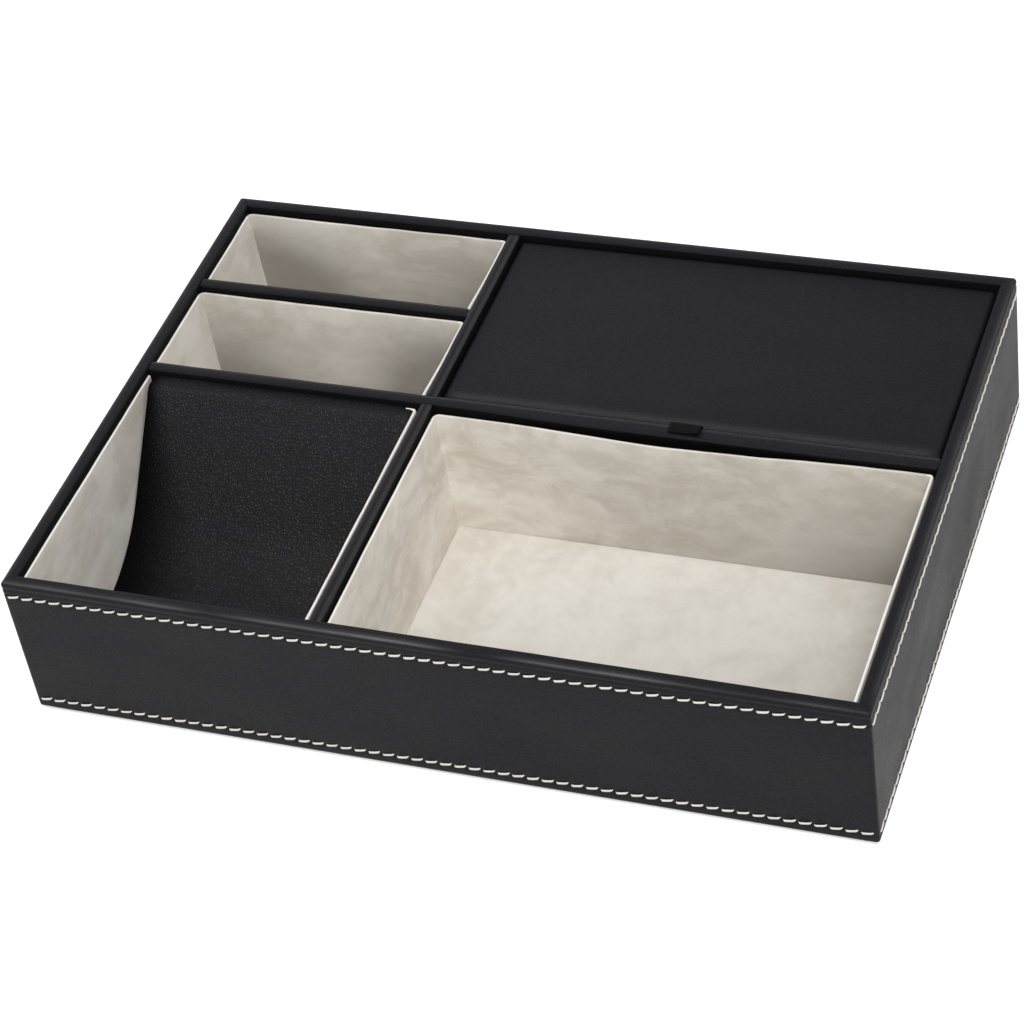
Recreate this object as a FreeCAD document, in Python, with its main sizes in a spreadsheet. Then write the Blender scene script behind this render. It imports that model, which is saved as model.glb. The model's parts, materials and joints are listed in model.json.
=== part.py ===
"""A leather-covered valet tray with five lined pockets, a curved cradle and a lift-out padded lid.

Millimetres. The origin is under the middle of the base, +X runs to the right along the width,
+Y to the back and +Z up. Each sub-part is written to parts/LABEL.step.
"""
import FreeCAD
import Part
import Sketcher
import math
import os
import re

# Driving dimensions: millimetres, and degrees for the slope of the cradle.
SIZES = {
    # outside of the tray
    "tray_width": 320,
    "tray_depth": 230,
    "body_height": 63.7,
    "corner_round": 1.4,
    # base under the body
    "base_board": 1.8,
    "base_felt": 0.5,
    "base_inset": 1.8,
    "base_corner": 3,
    # boards
    "wall_board": 3.5,
    "divider_board": 3.4,
    "bottom_board": 1.5,
    # leather over the walls and the dividers
    "leather": 0.7,
    "edge_round": 1.2,
    "turn_in": 15,
    "turn_under": 8,
    "seam_drop": 5.5,
    "seam_gap": 0.3,
    "groove_drop": 2.4,
    "groove_height": 0.7,
    "groove_depth": 0.25,
    # places of the dividers
    "centre_divider_x": -39.2,
    "cross_divider_y": 9,
    "divider_drop": 0.4,
    # suede-covered cards that line the pockets
    "liner": 2.2,
    "liner_drop": 3.4,
    "liner_round": 0.5,
    "floor_liner": 1.5,
    "ledge_liner": 4.5,
    "cradle_inner_liner": 3,
    # curved cradle
    "cradle_slope": 48,
    "cradle_radius": 60,
    "cradle_board": 2.5,
    "cradle_foam": 1.7,
    "cradle_skin": 0.8,
    "cradle_round": 3,
    "cradle_gap": 0.2,
    # padded lid
    "lid_drop": 2.3,
    "lid_gap": 0.7,
    "lid_front_gap": 1.3,
    "lid_board": 3,
    "lid_foam": 2,
    "lid_skin": 0.8,
    "lid_crown": 0.3,
    "lid_shoulder": 2.2,
    "lid_corner": 2.5,
    "lid_turn": 12,
    "lid_lining": 1,
    "lining_gap": 0.3,
    "seat_gap": 0.2,
    # pull tab of the lid
    "tab_width": 12,
    "tab_offset": 1.6,
    "tab_strap": 0.7,
    "tab_tail": 14,
    "tab_reach": 5.2,
    "tab_lift": 0.3,
    "tab_arch": 0.5,
    "tab_side": 0.2,
}

# Levels and faces that several pieces share, as formulas over the sizes.
FOOT = "(base_felt + base_board)"
TOP = f"({FOOT} + body_height)"
SHELF = f"({FOOT} + leather + bottom_board)"
WALL = "(wall_board + 2 * leather)"
DIVIDER = "(divider_board + 2 * leather)"
DIVIDER_TOP = f"({TOP} - divider_drop)"
LINER_TOP = f"({TOP} - liner_drop)"
LEFT = f"({WALL} - tray_width / 2)"
RIGHT = f"(tray_width / 2 - {WALL})"
FRONT = f"({WALL} - tray_depth / 2)"
BACK = f"(tray_depth / 2 - {WALL})"
CENTRE_LEFT = f"(centre_divider_x - {DIVIDER} / 2)"
CENTRE_RIGHT = f"(centre_divider_x + {DIVIDER} / 2)"
CROSS_FRONT = f"(cross_divider_y - {DIVIDER} / 2)"
CROSS_BACK = f"(cross_divider_y + {DIVIDER} / 2)"
SHORT_Y = f"(({CROSS_BACK} + {BACK}) / 2)"
SHORT_FRONT = f"({SHORT_Y} - {DIVIDER} / 2)"
SHORT_BACK = f"({SHORT_Y} + {DIVIDER} / 2)"

LID_LEFT = f"({CENTRE_RIGHT} + lid_gap)"
LID_RIGHT = f"({RIGHT} - lid_gap)"
LID_FRONT = f"({CROSS_BACK} + lid_front_gap)"
LID_BACK = f"({BACK} - lid_gap)"
LID_EDGE = "(2 * lid_skin + lid_board + lid_foam)"
LID_BASE = f"({TOP} - lid_drop - {LID_EDGE})"
LID_X = f"(({LID_LEFT} + {LID_RIGHT}) / 2)"
LID_Y = f"(({LID_FRONT} + {LID_BACK}) / 2)"
LID_BOARD_BASE = f"({LID_BASE} + lid_skin)"
LEDGE_TOP = f"({LID_BASE} - seat_gap)"

# A tool that only has to reach past a piece goes this far beyond it.
PAST = "turn_in"

doc = FreeCAD.newDocument("valet_tray")
sheet = doc.addObject("Spreadsheet::Sheet", "Sizes")
sub_parts = []


def fill_sheet():
    """One row for each driving dimension: its name, and its number under that alias."""
    for row, (alias, number) in enumerate(SIZES.items(), start=1):
        sheet.set(f"A{row}", alias)
        sheet.set(f"B{row}", str(number))
        sheet.setAlias(f"B{row}", alias)
    doc.recompute()


def bound(formula):
    """The formula with each size read from the sheet."""
    return re.sub(r"[a-z][a-z_]*", lambda word: f"Sizes.{word[0]}" if word[0] in SIZES else word[0], formula)


def value(formula):
    """The number that a formula gives now."""
    found = sheet.evalExpression(bound(formula))
    return float(getattr(found, "Value", found))


def tie(thing, name, formula):
    """Binds a property to the sheet."""
    thing.setExpression(name, bound(formula))


def keep(thing):
    """Notes a finished sub-part, which is written under its Label."""
    sub_parts.append(thing)
    return thing


def place(thing, x, y, z, quarter_turns=0):
    """Ties a place to the sheet, after whole quarter turns about +Z."""
    turn = FreeCAD.Rotation(FreeCAD.Vector(0, 0, 1), 90 * quarter_turns)
    thing.Placement = FreeCAD.Placement(FreeCAD.Vector(), turn)
    for axis, formula in zip("xyz", (x, y, z)):
        tie(thing, f"Placement.Base.{axis}", formula)


def rectangle(x0, x1, y0, y1):
    """Corners of a rectangle, anticlockwise."""
    return [(x0, y0), (x1, y0), (x1, y1), (x0, y1)]


def centred(width, depth):
    """Corners of a rectangle about the origin."""
    return rectangle(f"-({width}) / 2", f"({width}) / 2", f"-({depth}) / 2", f"({depth}) / 2")


def draw(body, plane, name, loops, level="0"):
    """A sketch of closed loops on an origin plane of the body, every corner bound to the sheet.

    A corner is (x, y), or (x, y, radius, side) where an arc leads to the next corner; side 1 bends
    to the left of the way along the loop and side -1 to the right.
    """
    sketch = body.newObject("Sketcher::SketchObject", f"{body.Name}_{name}")
    origin = {feature.Role: feature for feature in body.Origin.OriginFeatures}
    sketch.AttachmentSupport = [(origin[plane], "")]
    sketch.MapMode = "FlatFace"
    tie(sketch, "AttachmentOffset.Base.z", level)
    for loop in loops:
        draw_loop(sketch, loop)
    doc.recompute()
    return sketch


def draw_loop(sketch, loop):
    """Adds one closed loop of lines and arcs to a sketch."""
    first = sketch.GeometryCount
    spots = [FreeCAD.Vector(value(corner[0]), value(corner[1]), 0) for corner in loop]
    ends = []
    for index, corner in enumerate(loop):
        here = spots[index]
        there = spots[(index + 1) % len(loop)]
        if len(corner) == 2:
            sketch.addGeometry(Part.LineSegment(here, there))
            ends.append((1, 2))
            continue
        side = corner[3]
        half = (there - here) * 0.5
        across = FreeCAD.Vector(-half.y, half.x, 0).normalize() * side
        reach = math.sqrt(value(corner[2]) ** 2 - half.Length ** 2)
        centre = here + half + across * reach
        angles = [math.atan2(spot.y - centre.y, spot.x - centre.x) for spot in (here, there)]
        circle = Part.Circle(centre, FreeCAD.Vector(0, 0, 1), value(corner[2]))
        sketch.addGeometry(Part.ArcOfCircle(circle, *angles[::side]))
        ends.append((1, 2) if side > 0 else (2, 1))
    for index, corner in enumerate(loop):
        edge = first + index
        following = (index + 1) % len(loop)
        start, end = ends[index]
        joint = Sketcher.Constraint("Coincident", edge, end, first + following, ends[following][0])
        sketch.addConstraint(joint)
        fix_point(sketch, edge, start, corner)
        if len(corner) > 2:
            constrain(sketch, Sketcher.Constraint("Radius", edge, value(corner[2])), corner[2])


def fix_point(sketch, edge, point, spot):
    """Binds both coordinates of an edge's start or end to the sheet."""
    for kind, formula in zip(("DistanceX", "DistanceY"), spot):
        constrain(sketch, Sketcher.Constraint(kind, -1, 1, edge, point, value(formula)), formula)


def constrain(sketch, constraint, formula):
    """Adds a constraint and binds its number to the sheet."""
    tie(sketch, f"Constraints[{sketch.addConstraint(constraint)}]", formula)


def new_body(label):
    """An empty body under its own label."""
    return doc.addObject("PartDesign::Body", label)


def pad(body, sketch, length):
    """Material from the sketch along its plane's normal."""
    feature = body.newObject("PartDesign::Pad", f"{body.Name}_pad")
    feature.Profile = sketch
    tie(feature, "Length", length)
    doc.recompute()
    return feature


def pocket(body, sketch, depth, upward=False):
    """Takes material away below the sketch, or above it; stops where nothing was taken."""
    before = body.Shape.Volume
    feature = body.newObject("PartDesign::Pocket", f"{body.Name}_pocket")
    feature.Profile = sketch
    feature.Reversed = upward
    tie(feature, "Length", depth)
    doc.recompute()
    if body.Shape.Volume > before - 1e-6:
        raise ValueError(f"a pocket of {body.Label} takes nothing away")
    return feature


def edges_of(thing, chosen):
    """Names of the edges that a test picks."""
    return [f"Edge{index}" for index, edge in enumerate(thing.Shape.Edges, start=1) if chosen(edge)]


def round_off(body, chosen, radius):
    """Rounds the edges of the body's last feature that a test picks."""
    tip = body.Tip
    feature = body.newObject("PartDesign::Fillet", f"{body.Name}_fillet")
    feature.Base = (tip, edges_of(tip, chosen))
    tie(feature, "Radius", radius)
    doc.recompute()
    return feature


def near(a, b):
    """Whether two lengths agree."""
    return abs(a - b) < 1e-4


def upright(edge):
    """Whether an edge is vertical."""
    box = edge.BoundBox
    return near(box.XLength, 0) and near(box.YLength, 0) and box.ZLength > 0


def level_edge(height):
    """A test for edges that lie at one height."""
    return lambda edge: near(edge.BoundBox.ZMin, height) and near(edge.BoundBox.ZMax, height)


def long_edge_at(height, axis):
    """A test for straight edges at one height that run along X or Y."""
    def chosen(edge):
        box = edge.BoundBox
        across = box.YLength if axis == "x" else box.XLength
        return level_edge(height)(edge) and near(across, 0)
    return chosen


def block(label, x0, x1, y0, y1, z0, z1):
    """A plain board between six faces."""
    board = doc.addObject("Part::Box", label)
    tie(board, "Length", f"{x1} - {x0}")
    tie(board, "Width", f"{y1} - {y0}")
    tie(board, "Height", f"{z1} - {z0}")
    place(board, x0, y0, z0)
    return board


def combine(kind, label, base, tool):
    """A boolean of two objects: Part::Cut or Part::Common."""
    result = doc.addObject(kind, label)
    result.Base = base
    result.Tool = tool
    return result


def lining(label, x0, x1, y0, y1, z0, z1):
    """A suede-covered card that stands on edge, its long upper edges softened."""
    body = new_body(label)
    width = f"({x1} - {x0})"
    depth = f"({y1} - {y0})"
    height = f"({z1} - {z0})"
    pad(body, draw(body, "XY_Plane", "plan", [rectangle("0", width, "0", depth)]), height)
    run = "x" if value(width) > value(depth) else "y"
    round_off(body, long_edge_at(value(height), run), "liner_round")
    place(body, x0, y0, z0)
    return keep(body)


def make_base():
    """The base board and the felt under it, set in from the walls all round."""
    layers = (("base_board", "base_felt", "base_board"), ("base_felt", "0", "base_felt"))
    for label, level, thickness in layers:
        body = new_body(label)
        plan = [centred("tray_width - 2 * base_inset", "tray_depth - 2 * base_inset")]
        pad(body, draw(body, "XY_Plane", "plan", plan), thickness)
        round_off(body, upright, "base_corner")
        place(body, "0", "0", level)
        keep(body)


def make_boards():
    """Four wall boards, and the bottom board between them."""
    low = f"({FOOT} + leather)"
    high = f"({TOP} - leather)"
    side = "(tray_width / 2 - leather)"
    end = "(tray_depth / 2 - leather)"
    keep(block("front_wall_board", f"-{side}", side, f"-{end}", f"(wall_board - {end})", low, high))
    keep(block("back_wall_board", f"-{side}", side, f"({end} - wall_board)", end, low, high))
    inner_front = f"(wall_board - {end})"
    inner_back = f"({end} - wall_board)"
    inner_left = f"(wall_board - {side})"
    inner_right = f"({side} - wall_board)"
    keep(block("left_wall_board", f"-{side}", inner_left, inner_front, inner_back, low, high))
    keep(block("right_wall_board", inner_right, side, inner_front, inner_back, low, high))
    keep(block("bottom_board", inner_left, inner_right, inner_front, inner_back, low, SHELF))


def make_outer_leather():
    """The leather round the outside of the walls, turned in under their feet."""
    body = new_body("outer_leather")
    height = "(body_height - seam_drop - seam_gap)"
    pad(body, draw(body, "XY_Plane", "plan", [centred("tray_width", "tray_depth")]), height)
    round_off(body, upright, "corner_round")
    boards = [centred("tray_width - 2 * leather", "tray_depth - 2 * leather")]
    pocket(body, draw(body, "XY_Plane", "boards", boards, "leather"), height, upward=True)
    hem = "2 * (leather + turn_under)"
    window = [centred(f"tray_width - {hem}", f"tray_depth - {hem}")]
    pocket(body, draw(body, "XY_Plane", "window", window), "leather", upward=True)
    place(body, "0", "0", FOOT)
    keep(body)


def make_rim_leather():
    """The leather over the top of the walls: one rolled rim, in four lengths mitred at the corners."""
    rim = new_body("rim_ring")
    outer = centred("tray_width", "tray_depth")
    beyond = centred(f"tray_width + {PAST}", f"tray_depth + {PAST}")
    board_outer = centred("tray_width - 2 * leather", "tray_depth - 2 * leather")
    board_inner = centred(f"tray_width - 2 * ({WALL} - leather)", f"tray_depth - 2 * ({WALL} - leather)")
    opening = centred(f"tray_width - 2 * {WALL}", f"tray_depth - 2 * {WALL}")
    pad(rim, draw(rim, "XY_Plane", "plan", [outer]), "turn_in")
    round_off(rim, upright, "corner_round")
    pocket(rim, draw(rim, "XY_Plane", "opening", [opening]), "turn_in", upward=True)
    round_off(rim, level_edge(value("turn_in")), "edge_round")
    pocket(rim, draw(rim, "XY_Plane", "boards", [board_outer, board_inner]), "turn_in - leather", upward=True)
    pocket(rim, draw(rim, "XY_Plane", "skirt", [beyond, board_outer]), "turn_in - seam_drop", upward=True)
    grooved = centred("tray_width - 2 * groove_depth", "tray_depth - 2 * groove_depth")
    groove_foot = "turn_in - groove_drop - groove_height / 2"
    pocket(rim, draw(rim, "XY_Plane", "groove", [beyond, grooved], groove_foot), "groove_height", upward=True)
    place(rim, "0", "0", f"{TOP} - turn_in")
    reach = f"({WALL} + {PAST})"
    run = {"front": ("tray_width", "tray_depth", 0), "right": ("tray_depth", "tray_width", 1),
           "back": ("tray_width", "tray_depth", 2), "left": ("tray_depth", "tray_width", 3)}
    for side, (length, across, quarter_turns) in run.items():
        wedge = new_body(f"mitre_{side}")
        half = f"({length} / 2)"
        face = f"({across} / 2)"
        plan = [(f"-{half} - {PAST}", f"-{face} - {PAST}"), (f"{half} + {PAST}", f"-{face} - {PAST}"),
                (f"{half} - {reach}", f"{reach} - {face}"), (f"{reach} - {half}", f"{reach} - {face}")]
        pad(wedge, draw(wedge, "XY_Plane", "plan", [plan]), "turn_in")
        place(wedge, "0", "0", f"{TOP} - turn_in", quarter_turns)
        keep(combine("Part::Common", f"rim_leather_{side}", rim, wedge))


def make_cap(label, start, length, line, quarter_turns):
    """Leather folded over a divider's upper edge, along X or, after a quarter turn, along Y."""
    body = new_body(label)
    half = f"({DIVIDER} / 2)"
    board = "(divider_board / 2)"
    ceiling = "(turn_in - leather)"
    section = [(f"-{half}", "0"), (f"-{board}", "0"), (f"-{board}", ceiling), (board, ceiling),
               (board, "0"), (half, "0"), (half, "turn_in"), (f"-{half}", "turn_in")]
    pad(body, draw(body, "YZ_Plane", "section", [section]), length)
    round_off(body, long_edge_at(value("turn_in"), "x"), "edge_round")
    x, y = (line, start) if quarter_turns else (start, line)
    place(body, x, y, f"{DIVIDER_TOP} - turn_in", quarter_turns)
    keep(body)


def make_dividers():
    """Three divider boards, two of them halved into each other, and the leather over their tops."""
    high = f"({DIVIDER_TOP} - leather)"
    middle = f"(({SHELF} + {high}) / 2)"
    half = "divider_board / 2"
    centre_left = f"(centre_divider_x - {half})"
    centre_right = f"(centre_divider_x + {half})"
    centre = block("centre_blank", centre_left, centre_right, FRONT, BACK, SHELF, high)
    high_slot = block("high_slot", f"({CENTRE_LEFT} - {PAST})", f"({CENTRE_RIGHT} + {PAST})",
                      CROSS_FRONT, CROSS_BACK, middle, f"({high} + {PAST})")
    keep(combine("Part::Cut", "centre_divider_board", centre, high_slot))
    cross = block("cross_blank", LEFT, RIGHT, f"(cross_divider_y - {half})", f"(cross_divider_y + {half})",
                  SHELF, high)
    low_slot = block("low_slot", centre_left, centre_right, f"({CROSS_FRONT} - {PAST})",
                     f"({CROSS_BACK} + {PAST})", f"({SHELF} - {PAST})", middle)
    keep(combine("Part::Cut", "cross_divider_board", cross, low_slot))
    keep(block("short_divider_board", LEFT, CENTRE_LEFT, f"({SHORT_Y} - {half})", f"({SHORT_Y} + {half})",
               SHELF, high))
    make_cap("centre_divider_leather_front", FRONT, f"{CROSS_FRONT} - {FRONT}", "centre_divider_x", 1)
    make_cap("centre_divider_leather_back", CROSS_BACK, f"{BACK} - {CROSS_BACK}", "centre_divider_x", 1)
    make_cap("cross_divider_leather", LEFT, f"{RIGHT} - {LEFT}", "cross_divider_y", 0)
    make_cap("short_divider_leather", LEFT, f"{CENTRE_LEFT} - {LEFT}", SHORT_Y, 0)


def line_pocket(name, x0, x1, y0, y1, card="liner", top=LINER_TOP):
    """Four upright linings and a floor between the faces of one pocket."""
    left = f"({x0} + {card})"
    right = f"({x1} - {card})"
    front = f"({y0} + {card})"
    back = f"({y1} - {card})"
    lining(f"{name}_left_liner", x0, left, y0, y1, SHELF, top)
    lining(f"{name}_right_liner", right, x1, y0, y1, SHELF, top)
    lining(f"{name}_front_liner", left, right, y0, front, SHELF, top)
    lining(f"{name}_back_liner", left, right, back, y1, SHELF, top)
    keep(block(f"{name}_floor", left, right, front, back, SHELF, f"({SHELF} + floor_liner)"))


def make_linings():
    """The linings of the four square pockets; those under the lid stop low and carry it."""
    line_pocket("rear_pocket", LEFT, CENTRE_LEFT, SHORT_BACK, BACK)
    line_pocket("middle_pocket", LEFT, CENTRE_LEFT, CROSS_BACK, SHORT_FRONT)
    line_pocket("large_pocket", CENTRE_RIGHT, RIGHT, FRONT, CROSS_FRONT)
    line_pocket("lidded_pocket", CENTRE_RIGHT, RIGHT, CROSS_BACK, BACK, "ledge_liner", LEDGE_TOP)


def make_cradle():
    """A concave padded panel that climbs from the front of its pocket to the cross divider."""
    left = f"({LEFT} + liner)"
    right = f"({CENTRE_LEFT} - cradle_inner_liner)"
    nose = f"({FRONT} + liner)"
    lining("cradle_left_liner", LEFT, left, FRONT, CROSS_FRONT, SHELF, LINER_TOP)
    lining("cradle_right_liner", right, CENTRE_LEFT, FRONT, CROSS_FRONT, SHELF, LINER_TOP)
    lining("cradle_front_liner", left, right, FRONT, nose, SHELF, LINER_TOP)

    stack = "(cradle_board + cradle_foam + cradle_skin)"
    sine = "sin(cradle_slope * 1deg)"
    cosine = "cos(cradle_slope * 1deg)"
    floor = f"({SHELF} + {stack})"
    centre_z = f"({floor} + cradle_radius)"
    head = f"({LINER_TOP} - cradle_skin)"
    climb = f"({head} - {centre_z} + (cradle_radius + {stack}) * {cosine})"
    bend_y = f"({CROSS_FRONT} - {climb} * {cosine} / {sine} - (cradle_radius + {stack}) * {sine})"

    def surface(depth, height):
        """Corners of the surface that lies depth under the leather's face, from the front up to a height."""
        radius = f"(cradle_radius + {depth})"
        turn_y = f"({bend_y} + {radius} * {sine})"
        turn_z = f"({centre_z} - {radius} * {cosine})"
        end_y = f"({turn_y} + ({height} - {turn_z}) * {cosine} / {sine})"
        flat = f"({floor} - {depth})"
        return radius, [(nose, flat), (bend_y, flat), (turn_y, turn_z), (end_y, height)]

    def layer(label, upper, lower, height, cap=()):
        """A sheet between two depths; cap holds corners that close its upper end."""
        low_radius, low = surface(lower, head)
        high_radius, high = surface(upper, height)
        low[1] = low[1] + (low_radius, 1)
        high[2] = high[2] + (high_radius, -1)
        body = new_body(label)
        corners = low + list(cap) + high[::-1]
        pad(body, draw(body, "YZ_Plane", "section", [corners]), f"{right} - {left} - 2 * cradle_gap")
        place(body, f"{left} + cradle_gap", "0", "0")
        return body

    keep(layer("cradle_board", "(cradle_skin + cradle_foam)", stack, head))
    keep(layer("cradle_foam", "cradle_skin", "(cradle_skin + cradle_foam)", head))
    skin_cap = [(CROSS_FRONT, head), (CROSS_FRONT, LINER_TOP)]
    skin = layer("cradle_leather", "0", "cradle_skin", LINER_TOP, skin_cap)
    brow_y = value(surface("0", LINER_TOP)[1][3][0])
    at_top = long_edge_at(value(LINER_TOP), "x")
    round_off(skin, lambda edge: at_top(edge) and near(edge.BoundBox.YMin, brow_y), "cradle_round")
    keep(skin)


def pillow(label, inset, edge_height, shoulder):
    """A rounded slab about the lid's middle that swells both ways to a crown and rolls over at the edges."""
    body = new_body(label)
    width = f"({LID_RIGHT} - {LID_LEFT} - 2 * {inset})"
    depth = f"({LID_BACK} - {LID_FRONT} - 2 * {inset})"
    peak = f"({edge_height} + 2 * lid_crown)"
    long_arc = f"(({width} ^ 2 / 4 + lid_crown ^ 2) / (2 * lid_crown))"
    short_arc = f"(({depth} ^ 2 / 4 + lid_crown ^ 2) / (2 * lid_crown))"
    pad(body, draw(body, "XY_Plane", "plan", [centred(width, depth)]), peak)
    round_off(body, upright, f"lid_corner - {inset}")

    end = f"({depth} / 2 + {PAST})"
    end_z = f"({peak} - {short_arc} + sqrt({short_arc} ^ 2 - {end} ^ 2))"
    roof = f"({peak} + {PAST})"
    above = [(f"-{end}", end_z, short_arc, -1), (end, end_z), (end, roof), (f"-{end}", roof)]
    sketch = draw(body, "YZ_Plane", "crown", [above])
    axis_z = f"({peak} - {long_arc})"
    ends = [(f"-{end}", axis_z), (end, axis_z)]
    line = Part.LineSegment(*[FreeCAD.Vector(value(y), value(z), 0) for y, z in ends])
    axis = sketch.addGeometry(line, True)
    for point, spot in enumerate(ends, start=1):
        fix_point(sketch, axis, point, spot)
    groove = body.newObject("PartDesign::Groove", f"{label}_crown")
    groove.Profile = sketch
    groove.ReferenceAxis = (sketch, ["Axis0"])
    groove.Midplane = True
    tie(groove, "Angle", f"2 * asin(({width} / 2 + {PAST}) / {long_arc})")
    doc.recompute()
    low = value(edge_height)
    round_off(body, lambda edge: edge.BoundBox.ZMin > low - 1e-2, shoulder)
    return body


def make_lid():
    """The lid: a board with foam on it, leather round both, a lining card below and a pull tab."""
    foam = pillow("lid_foam", "lid_skin", "lid_foam", "lid_shoulder - lid_skin")
    place(foam, LID_X, LID_Y, f"{LID_BOARD_BASE} + lid_board")
    keep(foam)

    inner = (f"({LID_LEFT} + lid_skin)", f"({LID_RIGHT} - lid_skin)",
             f"({LID_FRONT} + lid_skin)", f"({LID_BACK} - lid_skin)")
    blank = new_body("lid_board_blank")
    width = f"({inner[1]} - {inner[0]})"
    depth = f"({inner[3]} - {inner[2]})"
    pad(blank, draw(blank, "XY_Plane", "plan", [centred(width, depth)]), "lid_board")
    round_off(blank, upright, "lid_corner - lid_skin")
    place(blank, LID_X, LID_Y, LID_BOARD_BASE)
    tab_left = f"({LID_X} + tab_offset - tab_width / 2)"
    tab_right = f"({LID_X} + tab_offset + tab_width / 2)"
    recess = block("tab_recess", f"({tab_left} - tab_side)", f"({tab_right} + tab_side)",
                   f"({LID_FRONT} - {PAST})", f"({LID_FRONT} + lid_skin + tab_tail)",
                   LID_BOARD_BASE, f"({LID_BOARD_BASE} + tab_strap)")
    keep(combine("Part::Cut", "lid_board", blank, recess))

    shell = pillow("lid_shell", "0", LID_EDGE, "lid_shoulder")
    open_width = f"({LID_RIGHT} - {LID_LEFT} - 2 * lid_turn)"
    open_depth = f"({LID_BACK} - {LID_FRONT} - 2 * lid_turn)"
    pocket(shell, draw(shell, "XY_Plane", "window", [centred(open_width, open_depth)]), "lid_skin", upward=True)
    place(shell, LID_X, LID_Y, LID_BASE)
    hollow = combine("Part::Cut", "lid_shell_hollow", shell, foam)
    boardless = combine("Part::Cut", "lid_shell_boardless", hollow, blank)
    keep(combine("Part::Cut", "lid_leather", boardless, recess))

    card = "(lid_turn + lining_gap)"
    keep(block("lid_lining", f"({LID_LEFT} + {card})", f"({LID_RIGHT} - {card})", f"({LID_FRONT} + {card})",
               f"({LID_BACK} - {card})", f"({LID_BOARD_BASE} - lid_lining)", LID_BOARD_BASE))
    make_pull_tab(tab_left)


def make_pull_tab(left):
    """A strap fixed under the lid's board, up through the front gap and forward over the divider."""
    tab = new_body("lid_pull_tab")
    outer = "(2 * tab_strap)"
    front = f"({LID_FRONT} - (lid_front_gap + tab_strap) / 2)"
    back = f"({front} + tab_strap)"
    tail = f"({LID_FRONT} + lid_skin + tab_tail)"
    bend_y = f"({front} - tab_strap)"
    tip = f"({front} - tab_reach)"
    rest = f"({DIVIDER_TOP} + tab_lift)"
    arch = f"({rest} + tab_arch)"
    under = [(tail, LID_BOARD_BASE), (front, LID_BOARD_BASE),
             (front, f"({arch} - tab_strap)", "tab_strap", 1), (bend_y, arch), (tip, rest)]
    over = [(tip, f"({rest} + tab_strap)"), (bend_y, f"({arch} + tab_strap)", outer, -1),
            (back, f"({arch} - tab_strap)"), (back, f"({LID_BOARD_BASE} + tab_strap)"),
            (tail, f"({LID_BOARD_BASE} + tab_strap)")]
    pad(tab, draw(tab, "YZ_Plane", "section", [under + over]), "tab_width")
    place(tab, left, "0", "0")
    keep(tab)


def write_parts():
    """Checks the document and each sub-part, then writes one file for each."""
    doc.recompute()
    for thing in doc.Objects:
        if "Invalid" in thing.State or "Error" in thing.State:
            raise ValueError(f"{thing.Label} is {thing.State}")
    os.makedirs("parts", exist_ok=True)
    for part in sub_parts:
        if part.Shape.isNull() or not part.Shape.isValid():
            raise ValueError(f"the shape of {part.Label} is not sound")
    for part in sub_parts:
        part.Shape.exportStep(f"parts/{part.Label}.step")
        box = part.Shape.BoundBox
        print(f"{part.Label:30s} {len(part.Shape.Solids)} solid {part.Shape.Volume:11.1f} mm3 "
              f"z {box.ZMin:6.2f} to {box.ZMax:6.2f}")


fill_sheet()
make_base()
make_boards()
make_outer_leather()
make_rim_leather()
make_dividers()
make_linings()
make_cradle()
make_lid()
write_parts()
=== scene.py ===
"""Looks of the leather-covered valet tray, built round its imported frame.

The makers work in millimetres in the part's own frame; new_piece turns them into metres.
"""

import json
import random
from math import atan2, copysign, cos, degrees, exp, pi, radians, sin, sqrt, tan

import bmesh
import bpy
from mathutils import Euler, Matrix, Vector, noise


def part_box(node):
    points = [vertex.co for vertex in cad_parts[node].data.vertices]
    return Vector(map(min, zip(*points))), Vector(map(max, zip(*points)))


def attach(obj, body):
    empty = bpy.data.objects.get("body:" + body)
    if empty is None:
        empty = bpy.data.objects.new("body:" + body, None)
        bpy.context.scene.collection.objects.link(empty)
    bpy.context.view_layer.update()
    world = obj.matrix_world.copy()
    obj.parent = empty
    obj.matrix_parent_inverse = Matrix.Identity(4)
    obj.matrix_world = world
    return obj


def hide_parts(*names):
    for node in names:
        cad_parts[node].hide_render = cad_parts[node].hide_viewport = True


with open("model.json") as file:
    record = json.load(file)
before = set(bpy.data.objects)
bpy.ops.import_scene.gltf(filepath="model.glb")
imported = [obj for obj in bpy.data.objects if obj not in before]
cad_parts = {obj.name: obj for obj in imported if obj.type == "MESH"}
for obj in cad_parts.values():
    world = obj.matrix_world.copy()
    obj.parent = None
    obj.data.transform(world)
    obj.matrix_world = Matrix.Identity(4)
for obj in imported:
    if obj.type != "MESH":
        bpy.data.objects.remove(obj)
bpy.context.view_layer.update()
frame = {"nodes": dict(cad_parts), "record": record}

MM = 0.001
nodes = frame["nodes"]


def corners(node):
    """Lowest and highest corner of a CAD node, in millimetres."""
    low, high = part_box(node)
    return Vector(low) / MM, Vector(high) / MM


# The leather stands a little off its boards, as glued leather does.
LOOSE = 0.4
HALF_WIDTH = corners("outer_leather")[1].x + LOOSE
HALF_DEPTH = corners("outer_leather")[1].y + LOOSE
TOP = corners("rim_leather_front")[1].z
BODY_FOOT = corners("outer_leather")[0].z
SEAM = corners("outer_leather")[1].z
SHELF = corners("bottom_board")[1].z
LINER_TOP = corners("large_pocket_left_liner")[1].z
LEATHER = 0.7
TURN_IN = 15.0
WALL = HALF_WIDTH - corners("large_pocket_right_liner")[1].x
CORNER_ROUND = 1.3


# ---- camera, lamps and stage

def put(name, data):
    """A new object in the scene."""
    thing = bpy.data.objects.new(name, data)
    bpy.context.scene.collection.objects.link(thing)
    return thing


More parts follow.
